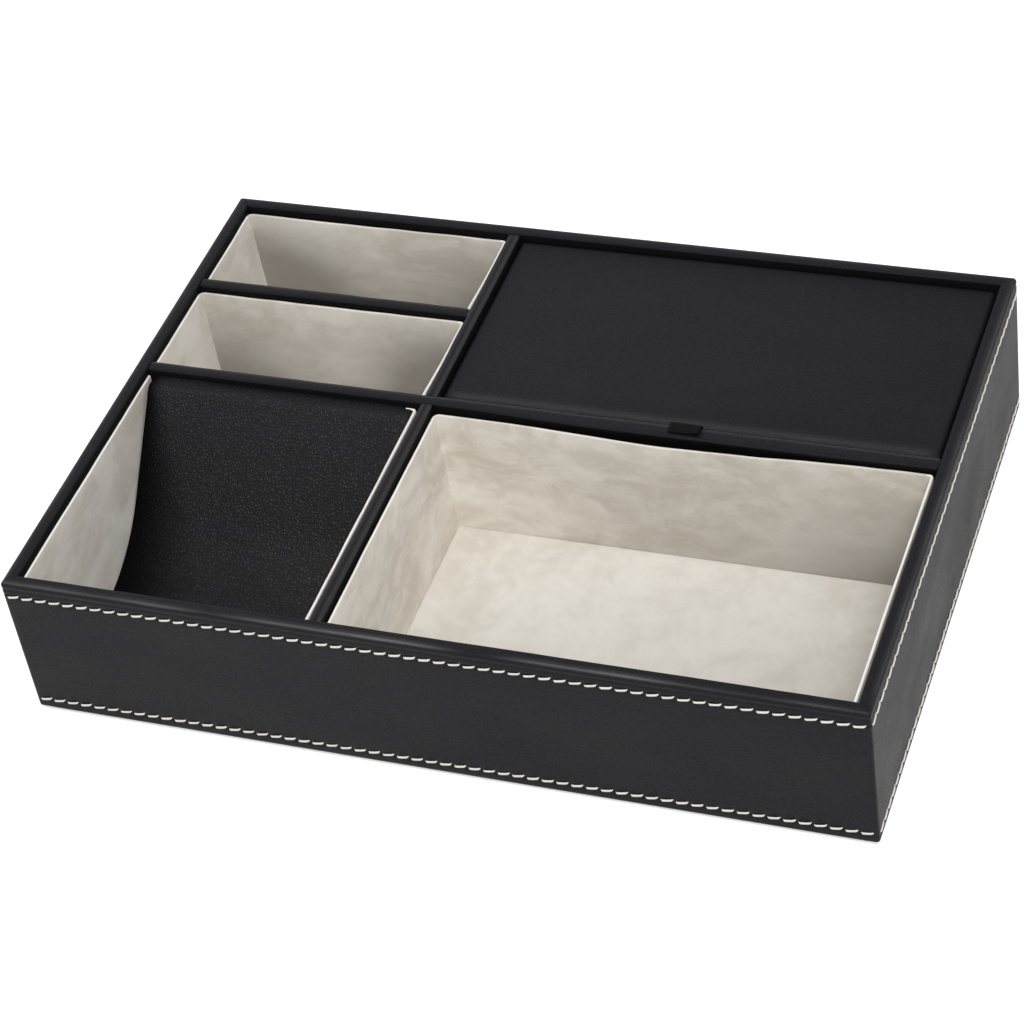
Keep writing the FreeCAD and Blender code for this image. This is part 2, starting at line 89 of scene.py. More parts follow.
def make_camera():
    data = bpy.data.cameras.new("camera")
    data.sensor_width = 36.0
    data.lens = 108.25
    data.clip_start = 0.05
    camera = put("camera", data)
    camera.location = (0.36139, -0.78109, 0.80337)
    camera.rotation_euler = Euler([radians(a) for a in (47.4315, 7.3660, 18.6615)], "XYZ")
    bpy.context.scene.camera = camera


def add(tree, kind, inputs=None, **settings):
    """A new shader node, named without "ShaderNode"; inputs are numbers, colours or sockets to join."""
    node = tree.nodes.new("ShaderNode" + kind)
    for name, setting in settings.items():
        setattr(node, name, setting)
    for name, given in (inputs or {}).items():
        if isinstance(given, bpy.types.NodeSocket):
            tree.links.new(given, node.inputs[name])
        else:
            node.inputs[name].default_value = given
    return node


def combine(tree, operation, *given):
    """The result of a Math node."""
    return add(tree, "Math", dict(enumerate(given)), operation=operation).outputs[0]


def empty_tree(owner):
    """The node tree of a material or world, with nothing in it."""
    owner.use_nodes = True
    owner.node_tree.nodes.clear()
    return owner.node_tree


def new_material(name, sockets=None):
    """A node material, its tree and its shader, whose named sockets get fixed values."""
    material = bpy.data.materials.new(name)
    tree = empty_tree(material)
    shader = add(tree, "BsdfPrincipled", sockets)
    add(tree, "OutputMaterial", {"Surface": shader.outputs[0]})
    return material, tree, shader


def dress(tree, shader, colour, roughness, relief):
    """Joins the three values that every finish here has."""
    for socket, given in (("Base Color", colour), ("Roughness", roughness), ("Normal", relief)):
        tree.links.new(given, shader.inputs[socket])


def toned(colour, factor):
    """The colour made paler or darker."""
    return [min(1.0, c * factor) for c in colour[:3]] + [1.0]


def seen_directly(tree):
    """1 for rays from the camera, mirrors and glass, 0 for the light that falls on things."""
    path = add(tree, "LightPath")
    seen = path.outputs["Is Camera Ray"]
    for kind in ("Is Glossy Ray", "Is Transmission Ray"):
        seen = combine(tree, "MAXIMUM", seen, path.outputs[kind])
    return seen


def make_stage():
    scene = bpy.context.scene
    scene.view_settings.view_transform = "Standard"
    scene.world = bpy.data.worlds.new("studio")
    tree = empty_tree(scene.world)
    direct = seen_directly(tree)
    room = add(tree, "Background", {"Color": WHITE, "Strength": ROOM_LIGHT})
    white = add(tree, "Background", {"Color": WHITE, "Strength": 1.0})
    mix = add(tree, "MixShader", {"Fac": direct, 1: room.outputs[0], 2: white.outputs[0]})
    add(tree, "OutputWorld", {"Surface": mix.outputs[0]})

    material = bpy.data.materials.new("pale_floor")
    tree = empty_tree(material)
    direct = seen_directly(tree)
    matte = add(tree, "BsdfDiffuse", {"Color": (0.90, 0.90, 0.90, 1.0)})
    lift = combine(tree, "MULTIPLY", direct, FLOOR_LIFT)
    glow = add(tree, "Emission", {"Color": WHITE, "Strength": lift})
    both = add(tree, "AddShader", {0: matte.outputs[0], 1: glow.outputs[0]})
    add(tree, "OutputMaterial", {"Surface": both.outputs[0]})
    mesh = bpy.data.meshes.new("floor")
    spots = [(x * FLOOR_HALF, y * FLOOR_HALF, 0) for x, y in ((-1, -1), (1, -1), (1, 1), (-1, 1))]
    mesh.from_pydata(spots, [], [(0, 1, 2, 3)])
    mesh.materials.append(material)
    floor = put("floor", mesh)

    data = bpy.data.lights.new("key_lamp", "AREA")
    data.shape = "DISK"
    data.size, data.energy, data.color = LAMP_WIDTH, LAMP_WATTS, LAMP_TINT
    lamp = put("key_lamp", data)
    lamp.location = LAMP_PLACE
    lamp.rotation_euler = (-Vector(LAMP_PLACE)).to_track_quat("-Z", "Y").to_euler()


WHITE = (1.0, 1.0, 1.0, 1.0)
ROOM_LIGHT = 0.62
# how much white the floor adds to itself where it is seen directly, and half its width in metres
FLOOR_LIFT = 0.40
FLOOR_HALF = 6.0
# the lamp, in metres and watts
LAMP_PLACE, LAMP_WIDTH = (0.64, -1.14, 1.84), 0.9
LAMP_WATTS, LAMP_TINT = 33.0, (1.0, 0.99, 0.975)


# ---- materials

def millimetres(tree, stretch=(1.0, 1.0, 1.0)):
    """Object coordinates in millimetres, optionally stretched."""
    place = add(tree, "TexCoord")
    return add(tree, "Mapping", {"Vector": place.outputs["Object"],
               "Scale": [1.0 / MM / s for s in stretch]}).outputs["Vector"]


def cloud(tree, at, size, detail=3.0, roughness=0.55):
    """Soft noise with features about size millimetres across."""
    return add(tree, "TexNoise", {"Vector": at, "Scale": 1.0 / size, "Detail": detail,
               "Roughness": roughness}).outputs["Fac"]


def spread(tree, fac, low, high, dark=0.3, light=0.7, kind="LINEAR"):
    """Maps a value from the span dark..light to the span low..high."""
    return add(tree, "MapRange", {"Value": fac, "From Min": dark, "From Max": light,
               "To Min": low, "To Max": high}, interpolation_type=kind).outputs["Result"]


def blend_colour(tree, fac, one, two):
    mix = add(tree, "Mix", data_type="RGBA")
    for index, given in ((0, fac), (6, one), (7, two)):
        if isinstance(given, bpy.types.NodeSocket):
            tree.links.new(given, mix.inputs[index])
        else:
            mix.inputs[index].default_value = given
    return mix.outputs[2]


def bump(tree, height, depth, under=None):
    """Relief depth millimetres deep, laid over an earlier relief."""
    inputs = {"Height": height, "Distance": depth * MM, "Strength": 1.0}
    if under is not None:
        inputs["Normal"] = under
    return add(tree, "Bump", inputs).outputs["Normal"]


def pebbles(tree, at, size, warp, valley):
    """Leather grain: cells with soft valleys between them, 0 in the valleys and 1 on the pebbles."""
    wobble = add(tree, "TexNoise", {"Vector": at, "Scale": 1.0 / (2.2 * size), "Detail": 2.0})
    shift = add(tree, "VectorMath", {0: wobble.outputs["Color"], 1: (0.5, 0.5, 0.5)},
                operation="SUBTRACT")
    grow = add(tree, "VectorMath", {0: shift.outputs[0], "Scale": warp * size}, operation="SCALE")
    moved = add(tree, "VectorMath", {0: at, 1: grow.outputs[0]}, operation="ADD")
    cells = add(tree, "TexVoronoi", {"Vector": moved.outputs[0], "Scale": 1.0 / size,
                "Randomness": 0.9}, feature="DISTANCE_TO_EDGE")
    return spread(tree, cells.outputs["Distance"], 0.0, 1.0, 0.0, valley, "SMOOTHSTEP")


def leather(name, colour, size, depth, rough, stretch=(1.0, 1.0, 1.0), crease=0.0, level=0.160, shaded_edge=None,
            fade=None, valley=0.28, pores=0.35, dim=0.0):
    """Coated black leather with a pebbled grain, a slow change of tone and faint creases.

    shaded_edge is the X of an edge beside which the leather is painted near black and reflects less,
    in a band that widens towards the foot: painted shade where the neighbouring liner shades it; fade
    is (X, X, share): between these places the reflection is cut down to the share, painted shade
    towards the side where less light falls; dim is how much less the valleys shine. The mesh's
    "polish_and_highlight" value says where the leather is stretched over an edge and reflects more:
    partly real polish, partly a painted highlight.
    """
    material, tree, shader = new_material(name, {"Specular IOR Level": level})
    at = millimetres(tree, stretch)
    grain = pebbles(tree, at, size, 1.5, valley)
    slow = cloud(tree, at, 28.0)
    fine = cloud(tree, at, 0.35, detail=2.0)
    tone = blend_colour(tree, spread(tree, slow, 0.0, 1.0), colour, toned(colour, 1.55))
    deep = blend_colour(tree, grain, toned(colour, 0.55), tone)
    # painted highlight, partly real polish: more reflection where the mesh's value says the leather is stretched
    # over an edge
    polish_and_highlight_fac = add(tree, "Attribute", attribute_name="polish_and_highlight").outputs["Fac"]
    shine = combine(tree, "MULTIPLY", spread(tree, grain, level * (1.0 - dim), level, 0.0, 1.0),
                    combine(tree, "MULTIPLY_ADD", polish_and_highlight_fac, POLISH_AND_HIGHLIGHT, 1.0))
    # painted shade: beside the edge the leather turns near black and loses its reflection, where the neighbouring
    # liner shades it
    if shaded_edge is not None:
        place = add(tree, "SeparateXYZ", {"Vector": at}).outputs
        share = combine(tree, "DIVIDE", combine(tree, "SUBTRACT", place["X"], shaded_edge),
                        spread(tree, place["Z"], 40.0, 6.0, 8.0, 62.0))
        unshaded = spread(tree, share, 0.12, 1.0, 0.0, 1.0, "SMOOTHSTEP")
        shine = combine(tree, "MULTIPLY", unshaded, shine)
        deep = blend_colour(tree, unshaded, (0.0012, 0.0012, 0.0014, 1.0), deep)
    # painted shade: between the two places the reflection weakens to the share, standing in for light that falls
    # off that way
    if fade is not None:
        across = add(tree, "SeparateXYZ", {"Vector": millimetres(tree)}).outputs["X"]
        shine = combine(tree, "MULTIPLY", spread(tree, across, 1.0, fade[2], fade[0], fade[1]), shine)
    tree.links.new(shine, shader.inputs["Specular IOR Level"])
    worn = combine(tree, "ADD", spread(tree, slow, rough - 0.05, rough + 0.06),
                   spread(tree, grain, 0.10, 0.0, 0.0, 1.0))
    relief = bump(tree, grain, depth)
    relief = bump(tree, fine, depth * pores, relief)
    if crease:
        folds = cloud(tree, millimetres(tree, (7.0, 7.0, 0.8)), 1.6, detail=4.0)
        relief = bump(tree, folds, crease, relief)
    dress(tree, shader, deep, worn, relief)
    return material


def suede(name, colour, shade, painted_shade=0.0, drift=0.0, lay=1.0):
    """Pale microfibre suede: cloudy nap, fine fuzz and a soft sheen.

    lay is how much longer the brush marks are sideways than up; painted_shade is how much darker the suede
    is painted where the mesh's "brush_and_shade" value asks, painted shade on the pockets' back walls and
    the cradle's left wall; drift is how much darker it is painted towards the front right, painted shade
    where the front and right walls shade the floor.
    """
    material, tree, shader = new_material(name, {"Specular IOR Level": 0.12, "Sheen Weight": 0.22,
                                          "Sheen Roughness": 0.45, "Sheen Tint": (1.0, 0.97, 0.93, 1.0)})
    at = millimetres(tree)
    marks = millimetres(tree, (lay, lay, 1.0))
    warp = add(tree, "TexNoise", {"Vector": at, "Scale": 1.0 / 30.0, "Detail": 2.0})
    pull = add(tree, "VectorMath", {0: warp.outputs["Color"], "Scale": 20.0}, operation="SCALE")
    brush_and_shade = add(tree, "VectorMath", {0: marks, 1: pull.outputs[0]}, operation="ADD").outputs[0]
    patches = cloud(tree, brush_and_shade, 34.0, detail=3.0, roughness=0.6)
    streaks = cloud(tree, brush_and_shade, 7.0, detail=4.0, roughness=0.65)
    fuzz = cloud(tree, at, 0.28, detail=3.0)
    tone = blend_colour(tree, spread(tree, patches, 0.0, 1.0, 0.39, 0.63), shade, colour)
    tone = blend_colour(tree, spread(tree, streaks, 0.0, 0.60, 0.44, 0.68), tone, toned(colour, 1.07))
    tone = blend_colour(tree, spread(tree, streaks, 0.32, 0.0, 0.34, 0.46), tone, shade)
    tone = blend_colour(tree, spread(tree, fuzz, 0.10, 0.0), tone, shade)
    # painted shade: darker where the mesh's value asks for it
    if painted_shade:
        shade_share = add(tree, "Attribute", attribute_name="brush_and_shade").outputs["Fac"]
        tone = blend_colour(tree, combine(tree, "MULTIPLY", shade_share, painted_shade), tone, toned(shade, 0.42))
    # painted shade: darker towards the front right, where the front and right walls shade the floor
    if drift:
        place = add(tree, "SeparateXYZ", {"Vector": at}).outputs
        ahead = combine(tree, "SUBTRACT", combine(tree, "MULTIPLY", place["X"], 0.35), place["Y"])
        tone = blend_colour(tree, spread(tree, ahead, 0.0, drift, 15.0, 135.0), tone, toned(shade, 0.5))
    relief = bump(tree, fuzz, 0.06, bump(tree, streaks, 0.10))
    dress(tree, shader, tone, spread(tree, streaks, 0.82, 0.96), relief)
    return material


def thread(name):
    """Cream sewing thread with the lay of its plies."""
    material, tree, shader = new_material(name, {"Specular IOR Level": 0.3, "Sheen Weight": 0.25})
    uv = add(tree, "TexCoord").outputs["UV"]
    twist = add(tree, "TexWave", {"Vector": uv, "Scale": 1.0, "Distortion": 0.6, "Detail": 1.0},
                wave_type="BANDS", bands_direction="DIAGONAL", wave_profile="SIN")
    tone = blend_colour(tree, twist.outputs["Fac"], (0.66, 0.63, 0.57, 1.0), (0.85, 0.83, 0.78, 1.0))
    dusty = cloud(tree, millimetres(tree), 3.0)
    dress(tree, shader, tone, spread(tree, dusty, 0.55, 0.75), bump(tree, twist.outputs["Fac"], 0.10))
    return material


def fibreboard(name, colour):
    """Pressed board: short fibres and specks."""
    material, tree, shader = new_material(name)
    fibres = cloud(tree, millimetres(tree, (3.0, 3.0, 0.6)), 0.6, detail=4.0)
    specks = cloud(tree, millimetres(tree), 2.4)
    dark = toned(colour, 0.7)
    tone = blend_colour(tree, spread(tree, fibres, 0.0, 1.0), dark, colour)
    tone = blend_colour(tree, spread(tree, specks, 0.0, 0.3), tone, dark)
    dress(tree, shader, tone, spread(tree, specks, 0.75, 0.9), bump(tree, fibres, 0.05))
    return material


def felt(name, colour):
    """Matted felt: loose fibres over a soft, uneven face."""
    material, tree, shader = new_material(name, {"Sheen Weight": 0.3})
    at = millimetres(tree)
    tufts = cloud(tree, at, 0.5, detail=5.0, roughness=0.7)
    slow = cloud(tree, at, 12.0)
    tone = blend_colour(tree, spread(tree, tufts, 0.0, 0.8), colour, toned(colour, 1.6))
    tone = blend_colour(tree, spread(tree, slow, 0.0, 0.3), tone, colour)
    dress(tree, shader, tone, spread(tree, slow, 0.88, 0.98), bump(tree, tufts, 0.25))
    return material


def ribbon_cloth(name, colour):
    """Fine ribbed ribbon."""
    material, tree, shader = new_material(name, {"Specular IOR Level": 0.08})
    ribs = add(tree, "TexWave", {"Vector": millimetres(tree), "Scale": 0.55, "Distortion": 0.3},
               wave_type="BANDS", bands_direction="X", wave_profile="SIN").outputs["Fac"]
    worn = cloud(tree, millimetres(tree), 2.0)
    tone = blend_colour(tree, ribs, colour, toned(colour, 1.5))
    dress(tree, shader, tone, spread(tree, worn, 0.65, 0.85), bump(tree, ribs, 0.08))
    return material


# how much more the leather reflects where it is fully stretched over an edge: real polish and a painted highlight
POLISH_AND_HIGHLIGHT = 5.4
BLACK = (0.0045, 0.0045, 0.0064, 1.0)
# near black for the painted-shade leather below
SHADE_BLACK = (0.0034, 0.0034, 0.0038, 1.0)
# painted shade: the body's leather reflects less towards the right
smooth_leather = leather("smooth_leather", BLACK, 0.60, 0.050, 0.44, stretch=(1.6, 1.6, 1.0), crease=0.07,
                         fade=(-60.0, 165.0, 0.84))
# a darker, matt copy of the leather: painted shade on the inner faces of the rim and dividers and on the base
shade_leather = leather("shade_leather", SHADE_BLACK, 0.55, 0.030, 0.70, level=0.09)
# painted shade: the lid's leather reflects less towards the right
lid_hide = leather("lid_leather", BLACK, 0.62, 0.070, 0.42, stretch=(1.5, 1.0, 1.0), crease=0.085,
                   fade=(0.0, 160.0, 0.80))
# painted shade: the cradle's leather is near black and matt in a band beside its left liner, widening towards the
# foot
grained_leather = leather("grained_leather", BLACK, 1.20, 0.13, 0.47, level=0.33, shaded_edge=-152.5, valley=0.42,
                          pores=0.10, dim=0.40)
# the pockets' wall suede, darkened by painted shade where the mesh's value asks, most at the foot of the back
# walls
pale_suede = suede("pale_suede", (0.780, 0.753, 0.700, 1.0), (0.585, 0.543, 0.480, 1.0), painted_shade=0.6, lay=2.0)
# floor suede, painted darker towards the front right: painted shade from the front and right walls
floor_suede = suede("floor_suede", (0.725, 0.702, 0.653, 1.0), (0.620, 0.592, 0.537, 1.0), drift=0.66)
# paler suede for the upper edges of some walls: a painted highlight where their tops catch the light
lit_suede_edge = suede("lit_suede_edge", (0.90, 0.885, 0.85, 1.0), (0.82, 0.79, 0.74, 1.0))
cream_thread = thread("cream_thread")
grey_board = fibreboard("grey_board", (0.30, 0.27, 0.23, 1.0))
black_felt = felt("black_felt", (0.012, 0.012, 0.013, 1.0))
black_ribbon = ribbon_cloth("black_ribbon", (0.0030, 0.0030, 0.0034, 1.0))


# ---- mesh helpers

def new_piece(name, points, faces, material, body="tray", slot="leather", sharp=50.0, uvs=None):
    """A mesh piece from points in millimetres, smooth but for its sharp edges."""
    mesh = bpy.data.meshes.new(name)
    mesh.from_pydata([tuple(Vector(p) * MM) for p in points], [], faces)
    mesh.validate()
    skin = bmesh.new()
    skin.from_mesh(mesh)
    bmesh.ops.recalc_face_normals(skin, faces=skin.faces)
    skin.to_mesh(mesh)
    skin.free()
    if uvs:
        layer = mesh.uv_layers.new(name="UVMap")
        for loop in mesh.loops:
            layer.data[loop.index].uv = uvs[loop.vertex_index]
    mesh.materials.append(material)
    mesh.shade_smooth()
    mesh.set_sharp_from_angle(angle=radians(sharp))
    piece = put(name, mesh)
    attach(piece, body)
    return piece


def point_values(piece, name, values):
    """Stores one number for each point of a piece, for its material to read."""
    layer = piece.data.attributes.new(name, "FLOAT", "POINT")
    for index, value in enumerate(values):
        layer.data[index].value = value


def second_material(piece, material, chosen):
    """Gives the faces whose middle passes a test, in millimetres, another material."""
    piece.data.materials.append(material)
    for polygon in piece.data.polygons:
        if chosen(polygon.center / MM):
            polygon.material_index = 1


def loft(sections, ends=True):
    """Points and faces of a skin over closed sections of equal count."""
    count = len(sections[0])
    points = [p for section in sections for p in section]
    faces = []
    for row in range(len(sections) - 1):
        for column in range(count):
            a = row * count + column
            b = row * count + (column + 1) % count
            faces.append((a, b, b + count, a + count))
    if ends:
        faces.append(tuple(range(count))[::-1])
        last = (len(sections) - 1) * count
        faces.append(tuple(range(last, last + count)))
    return points, faces


def closed_loft(rings):
    """Points and faces of a skin over closed rings, the last joined to the first again."""
    points, faces = loft(rings + [rings[0]], ends=False)
    count = len(rings) * len(rings[0])
    return points[:count], [tuple(i % count for i in face) for face in faces]


def skirt(upper, lower):
    """Faces between two closed rows of points."""
    after = [k - len(upper) + 1 for k in range(len(upper))]
    return [(upper[b], upper[a], lower[a], lower[b]) for a, b in enumerate(after)]


def grid_faces(columns, rows):
    """The faces of a grid of points, row after row."""
    return [(a, a + 1, a + 1 + columns, a + columns)
            for a in (j * columns + i for j in range(rows - 1) for i in range(columns - 1))]


def grid_border(columns, rows):
    """The points round the edge of a grid, anticlockwise."""
    border = list(range(columns)) + [columns * (j + 1) - 1 for j in range(1, rows)]
    border += [columns * (rows - 1) + i for i in range(columns - 2, -1, -1)]
    return border + [columns * j for j in range(rows - 2, 0, -1)]


def stations(length, near_ends, step):
    """Places along a length: fine near both ends and even between them."""
    middle = length - 2 * near_ends[-1]
    runs = max(1, round(middle / step))
    inner = [near_ends[-1] + middle * k / runs for k in range(1, runs)]
    return list(near_ends) + inner + [length - s for s in reversed(near_ends)]


def arc(u, z, radius, start, stop, steps):
    """Points of an arc in a section plane, angles in degrees."""
    turns = [radians(start + (stop - start) * k / steps) for k in range(steps + 1)]
    return [(u + radius * cos(turn), z + radius * sin(turn)) for turn in turns]


def ramp(value, low, high):
    """Smooth step from 0 at low to 1 at high."""
    t = min(1.0, max(0.0, (value - low) / (high - low)))
    return t * t * (3.0 - 2.0 * t)


def wave(x, y, z, size, seed=0.0):
    """Soft noise, about -0.5 to 0.5, with features of a size in millimetres."""
    return noise.noise(Vector((x / size + seed, y / size - seed, z / size + 2.0 * seed)))


# ---- walls, rim and dividers

SIDES = ("front", "right", "back", "left")


def wall_spot(side, s, out, z):
    """A point at s along a side, out from its face, seen from outside and going round anticlockwise."""
    half, away = (HALF_WIDTH, HALF_DEPTH) if side in ("front", "back") else (HALF_DEPTH, HALF_WIDTH)
    a, b = s - half, away + out
    return {"front": (a, -b, z), "right": (b, a, z), "back": (-a, b, z), "left": (-b, -a, z)}[side]


def side_length(side):
    return 2 * (HALF_WIDTH if side in ("front", "back") else HALF_DEPTH)


# roundings of the rim's inner and outer upper edge, and how far its leather comes down outside
RIM_INNER = 1.0
RIM_OUTER = 1.7
RIM_DROP = 5.76
# the ends of a rim or cap are drawn towards a line this far under its top
TUCK_DEPTH = 3.0


def rim_section():
    """The rim's leather across a wall: (distance in from the outer face, height, share of seam dip)."""
    outside = [(WALL, TOP - TURN_IN), (WALL, TOP - 8.0), (WALL, TOP - 4.0)]
    outside += arc(WALL - RIM_INNER, TOP - RIM_INNER, RIM_INNER, 0, 80, 6)
    outside += [(WALL / 2 + 0.3, TOP + 0.02), (WALL / 2 - 0.4, TOP + 0.03)]
    outside += arc(RIM_OUTER, TOP - RIM_OUTER, RIM_OUTER, 95, 180, 9)
    groove = TOP - 2.9
    outside += [(0.16 * cos(pi * d / 2.2) ** 2, groove - d)
                for d in (-0.9, -0.6, -0.3, 0.0, 0.3, 0.6, 0.9)]
    low = TOP - RIM_DROP
    outside += [(-0.02, low + 1.3), (0.0, low + 0.7), (0.08, low + 0.28), (0.26, low + 0.04)]
    inside = [(LEATHER, low), (LEATHER, TOP - LEATHER), (WALL - LEATHER, TOP - LEATHER),
              (WALL - LEATHER, TOP - TURN_IN)]
    share = [1.0 if u > 0.8 else 0.15 + 0.85 * ramp(z, TOP - 1.6, TOP - 0.2) for u, z in outside]
    return [(u, z, dips) for (u, z), dips in zip(outside, share)] + [(u, z, 0.0) for u, z in inside]


def mitred(depth, along):
    """Where a point of the section lies at a distance along from the mitre, round the upright corner."""
    if depth >= CORNER_ROUND:
        return depth + along, depth
    radius = CORNER_ROUND - depth
    bend = CORNER_ROUND * pi / 4
    if along >= bend:
        return CORNER_ROUND + along - bend, depth
    angle = pi / 4 * (1 - along / bend)
    return CORNER_ROUND - radius * sin(angle), CORNER_ROUND - radius * cos(angle)


def make_rim():
    """Four lengths of rolled rim, each mitred and tucked in at its corners."""
    section = rim_section()
    centre_u, centre_z = WALL / 2, TOP - TUCK_DEPTH
    for seed, side in enumerate(SIDES):
        length = side_length(side)
        sections, polish_and_highlight = [], []
        for c in stations(length, (0.0, 0.12, 0.3, 0.55, 0.9, 1.4, 2.2, 3.5, 5.5, 8.0), 4.0):
            end = min(c, length - c)
            dip = 0.08 * exp(-(end / 0.45) ** 2)
            ring, polish_and_highlight_row = [], []
            for u, z, share in section:
                # painted highlight, partly real polish: the outer rounding reflects more near 26 degrees of tilt,
                # unevenly along the rim, fading towards the front's right end and at half strength on the other
                # sides
                tilt = degrees(atan2(max(0.0, RIM_OUTER - u), max(0.01, z - TOP + RIM_OUTER)))
                bead = share > 0.0 and u < 2.4 and z > TOP - 1.8
                polish_and_highlight_row.append(exp(-((tilt - 26.0) / 20.0) ** 2) if bead else 0.0)
                s, across = mitred(max(u, 0.0), end)
                across += min(u, 0.0)
                s = c if c == length / 2 else end + (s - end) * (1 - ramp(end, 6.0, 50.0))
                s = s if c <= length / 2 else length - s
                pull = Vector((centre_u - across, centre_z - z)).normalized() * dip * share
                x, y, _ = wall_spot(side, s, -across, z)
                ease = 0.10 * wave(x, y, z, 11.0, seed + 3.7) * share
                polish_and_highlight_row[-1] *= 0.8 + 1.1 * wave(x, y, 0.0, 26.0, seed + 6.0)
                polish_and_highlight_row[-1] *= 1.0 - 0.6 * ramp(x, 60.0, 125.0) if side == "front" else 0.5
                across += pull.x + ease * (1 if u < 1.0 else 0)
                ring.append(wall_spot(side, s, -across, z + pull.y + ease))
            sections.append(ring[::-1])
            polish_and_highlight += [max(0.0, value) for value in polish_and_highlight_row[::-1]]
        piece = new_piece(f"rim_roll_{side}", *loft(sections), smooth_leather)
        point_values(piece, "polish_and_highlight", polish_and_highlight)
        # painted shade: the rim's inner face below its top gets the darker, matt leather
        second_material(piece, shade_leather, lambda at: at.z < TOP - 0.9 and
                        min(HALF_WIDTH - abs(at.x), HALF_DEPTH - abs(at.y)) > WALL - 0.9)
        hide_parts(f"rim_leather_{side}")


def cap_section(width, high):
    """Leather folded over a divider: (across, height, share of the tuck at its ends)."""
    half = width / 2
    bend = 1.05
    low = high - TURN_IN
    outside = [(half, low), (half, high - 8.0), (half, high - 4.0)]
    outside += arc(half - bend, high - bend, bend, 0, 80, 6)
    outside += [(0.35, high + 0.02), (-0.35, high + 0.02)]
    outside += arc(bend - half, high - bend, bend, 100, 180, 6)
    outside += [(-half, high - 4.0), (-half, high - 8.0), (-half, low)]
    board = half - LEATHER
    inside = [(-board, low), (-board, high - LEATHER), (board, high - LEATHER), (board, low)]
    return [(u, z, 1.0) for u, z in outside] + [(u, z, 0.0) for u, z in inside]


def make_caps():
    """The leather over each divider's upper edge, tucked in where it meets its neighbours."""
    for seed, node in enumerate(("centre_divider_leather_front", "centre_divider_leather_back",
                                 "cross_divider_leather", "short_divider_leather")):
        low, high = corners(node)
        size = high - low
        along_y = size.y > size.x
        length, width = (size.y, size.x) if along_y else (size.x, size.y)
        middle = (low + high) / 2
        sections, polish_and_highlight = [], []
        for c in stations(length, (0.06, 0.2, 0.4, 0.7, 1.1, 1.8, 3.0, 5.0), 4.0):
            end = min(c, length - c)
            dip = 0.42 * exp(-(end / 0.5) ** 2)
            ring = []
            for u, z, share in cap_section(width, high.z):
                x, y = (middle.x - u, low.y + c) if along_y else (low.x + c, middle.y + u)
                pull = Vector((-u, high.z - TUCK_DEPTH - z)).normalized() * dip * share
                ease = 0.10 * wave(x, y, z, 10.0, seed + 9.1) * share
                across = u + pull.x + ease * (1 if abs(u) > 1.5 else 0) * (1 if u > 0 else -1)
                if node == "cross_divider_leather" and u < 0.0 and share > 0.0:
                    slack = 1.6 * ramp(x, -32.0, 30.0) - 0.6 * ramp(x, 110.0, 150.0)
                    across -= slack * ramp(z, high.z - 4.4, high.z - 2.2)
                # painted highlight, partly real polish: the upper rounding on the back side of the caps, and on
                # both sides of those that run front to back, reflects more
                polish_and_highlight.append(0.28 * share if 0.6 < abs(u) < width / 2 - 0.1 and z > high.z - 1.0 and
                                (u > 0.0 or along_y) else 0.0)
                z = z + pull.y + ease
                ring.append((middle.x - across, low.y + c, z) if along_y else (low.x + c, middle.y + across, z))
            sections.append(ring)
        piece = new_piece(node.replace("leather", "wrap"), *loft(sections), smooth_leather)
        point_values(piece, "polish_and_highlight", polish_and_highlight)
        # painted shade: the cap's sides below its top get the darker, matt leather
        second_material(piece, shade_leather, lambda at: at.z < high.z - 0.9)
        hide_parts(node)


# ---- outer leather and its stitches

STITCH_ROWS = (("upper", TOP - 6.4), ("lower", BODY_FOOT + 4.4))
STITCHES = {"front": 58, "right": 42, "back": 58, "left": 42}
STITCH_MARGIN = 1.3
STITCH_GAP = 0.30


def stitch_pitch(side):
    return (side_length(side) - 2 * STITCH_MARGIN) / STITCHES[side]


def stitch_spots(side):
    """Where the stitches of one side start and end along it."""
    pitch = stitch_pitch(side)
    return [(STITCH_MARGIN + pitch * k + STITCH_GAP, STITCH_MARGIN + pitch * (k + 1) - STITCH_GAP)
            for k in range(STITCHES[side])]


def sewn_dip(side, s, z):
    """How far the leather is drawn in at a place on a side by the rows of stitches."""
    dip = 0.0
    pitch = stitch_pitch(side)
    phase = ((s - STITCH_MARGIN) / pitch) % 1.0
    hole = min(phase, 1.0 - phase) * pitch
    for _, level in STITCH_ROWS:
        across = (z - level) / 1.5
        if abs(across) < 2.0:
            valley = 0.10 * exp(-across * across)
            pit = 0.22 * exp(-(hole / 0.9) ** 2 - across * across * 2.2)
            dip += valley + pit
    return dip


